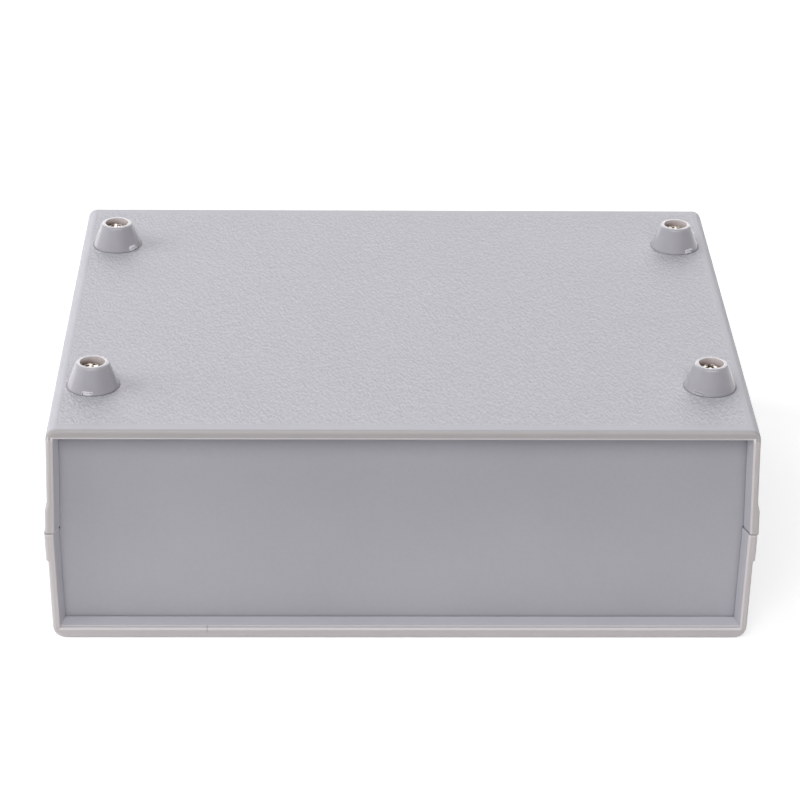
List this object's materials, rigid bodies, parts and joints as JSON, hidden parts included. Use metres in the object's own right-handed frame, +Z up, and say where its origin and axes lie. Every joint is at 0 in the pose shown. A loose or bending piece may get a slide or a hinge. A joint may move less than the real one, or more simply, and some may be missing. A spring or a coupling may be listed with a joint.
{
  "type": "plastic project box",
  "caption": "Two-part moulded grey plastic electronics enclosure with slide-in front and rear panels, tapered screw feet and cross-recess screws.",
  "frame": {"origin": "middle of the cover's outer face, which lies on the table", "axes": "+Z up through the feet, +X across the width, -Y towards the front panel; the box lies upside down on its cover"},
  "size_m": [0.2014, 0.16, 0.0737],
  "materials": {
    "shell_plastic": "light grey ABS, leather grain on the large flat faces, smooth satin rims and edges",
    "panel_plastic": "mid grey ABS, fine even satin",
    "foot_plastic": "grey ABS, smooth and slightly glossy",
    "screw_metal": "nickel-plated steel, bright"
  },
  "bodies": {
    "cover": {"cover_shell": "shell_plastic", "front_panel": "panel_plastic", "rear_panel": "panel_plastic"},
    "base": {"base_shell": "shell_plastic", "foot_front_left": "foot_plastic", "foot_front_right": "foot_plastic", "foot_rear_left": "foot_plastic", "foot_rear_right": "foot_plastic"},
    "screw_front_left": {"screw_front_left": "screw_metal"},
    "screw_front_right": {"screw_front_right": "screw_metal"},
    "screw_rear_left": {"screw_rear_left": "screw_metal"},
    "screw_rear_right": {"screw_rear_right": "screw_metal"}
  },
  "joints": [
    {"name": "base_lift", "type": "slide", "parent": "cover", "child": "base", "axis": [0, 0, 1], "range_m": [0, 0.08]},
    {"name": "screw_front_left_out", "type": "slide", "parent": "base", "child": "screw_front_left", "axis": [0, 0, 1], "range_m": [0, 0.055]},
    {"name": "screw_front_right_out", "type": "slide", "parent": "base", "child": "screw_front_right", "axis": [0, 0, 1], "range_m": [0, 0.055]},
    {"name": "screw_rear_left_out", "type": "slide", "parent": "base", "child": "screw_rear_left", "axis": [0, 0, 1], "range_m": [0, 0.055]},
    {"name": "screw_rear_right_out", "type": "slide", "parent": "base", "child": "screw_rear_right", "axis": [0, 0, 1], "range_m": [0, 0.055]}
  ]
}
